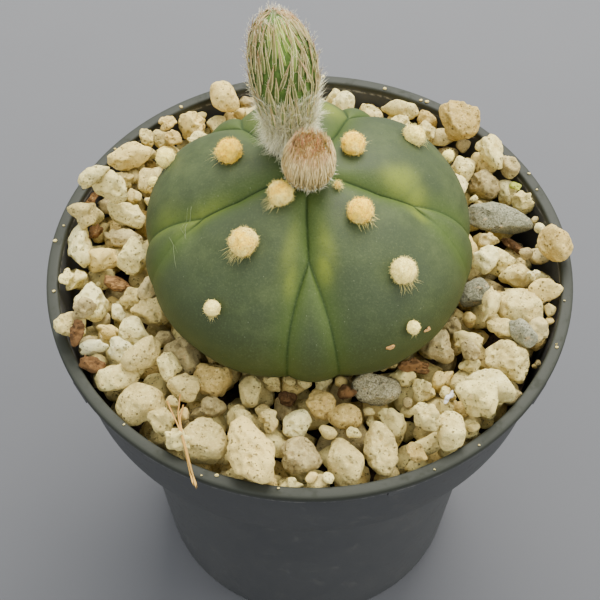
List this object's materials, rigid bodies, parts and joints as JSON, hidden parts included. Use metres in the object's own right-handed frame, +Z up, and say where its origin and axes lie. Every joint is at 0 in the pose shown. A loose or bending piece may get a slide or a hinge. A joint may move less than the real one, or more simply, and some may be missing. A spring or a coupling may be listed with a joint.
{
  "type": "potted star cactus",
  "caption": "Low ribbed star cactus with two flower buds, growing in a round collared nursery pot topped with pumice grit.",
  "frame": {"origin": "middle of the pot's foot, on the surface that it stands on", "axes": "+Z up the plant, -Y towards the front furrow, +X to the right of it"},
  "size_m": [0.1, 0.1, 0.1439],
  "materials": {
    "black_plastic": "satin moulded plastic with a worn lip",
    "potting_mix": "dark crumbly bark and peat mix",
    "pumice_grit": "dry porous pumice, matte",
    "cactus_skin": "waxy matte grey-green skin",
    "areole_wool": "short dense natural wool",
    "bud_scales": "dry papery scales with wool between them",
    "stone_beige": "pitted pumice, matte",
    "stone_ochre": "warm pitted pumice, matte",
    "stone_cream": "pale pumice, matte",
    "stone_grey": "grey-brown pumice, matte",
    "stone_slate": "speckled grey stone, matte",
    "bark": "dry brown bark chip"
  },
  "bodies": {
    "root": {"areole_wool_a1": "areole_wool", "areole_wool_a2": "areole_wool", "areole_wool_a3": "areole_wool", "areole_wool_b1": "areole_wool", "areole_wool_b2": "areole_wool", "areole_wool_b3": "areole_wool", "areole_wool_b4": "areole_wool", "areole_wool_c1": "areole_wool", "areole_wool_c2": "areole_wool", "areole_wool_c3": "areole_wool", "areole_wool_d1": "areole_wool", "areole_wool_d2": "areole_wool", "areole_wool_e1": "areole_wool", "areole_wool_e2": "areole_wool", "areole_wool_e3": "areole_wool", "bark_chip_left": "bark", "bark_chip_right": "bark", "cactus_body": "cactus_skin", "flower_bud_large": "bud_scales", "flower_bud_small": "bud_scales", "gravel_bed": "pumice_grit", "pot": "black_plastic", "soil": "potting_mix", "stone_back_boulder": "stone_ochre", "stone_back_left": "stone_ochre", "stone_back_tall": "stone_ochre", "stone_back_white": "stone_cream", "stone_front_cream": "stone_cream", "stone_front_granite": "stone_slate", "stone_front_long": "stone_ochre", "stone_front_mid": "stone_ochre", "stone_front_pyramid": "stone_grey", "stone_front_square": "stone_beige", "stone_front_tall": "stone_beige", "stone_front_wedge": "stone_beige", "stone_left_big": "stone_beige", "stone_left_cream": "stone_cream", "stone_left_edge": "stone_cream", "stone_left_mottled": "stone_beige", "stone_left_ochre": "stone_ochre", "stone_left_oval": "stone_beige", "stone_left_pale": "stone_beige", "stone_left_pitted": "stone_beige", "stone_left_rim": "stone_beige", "stone_left_round": "stone_grey", "stone_left_slab": "stone_beige", "stone_left_tan": "stone_ochre", "stone_left_white": "stone_cream", "stone_right_block": "stone_grey", "stone_right_cream": "stone_cream", "stone_right_egg": "stone_ochre", "stone_right_grey": "stone_slate", "stone_right_kite": "stone_beige", "stone_right_long": "stone_beige", "stone_right_pale": "stone_beige", "stone_right_pitted": "stone_beige", "stone_right_rough": "stone_grey", "stone_right_slab": "stone_slate", "stone_right_tan": "stone_ochre"}
  },
  "joints": []
}
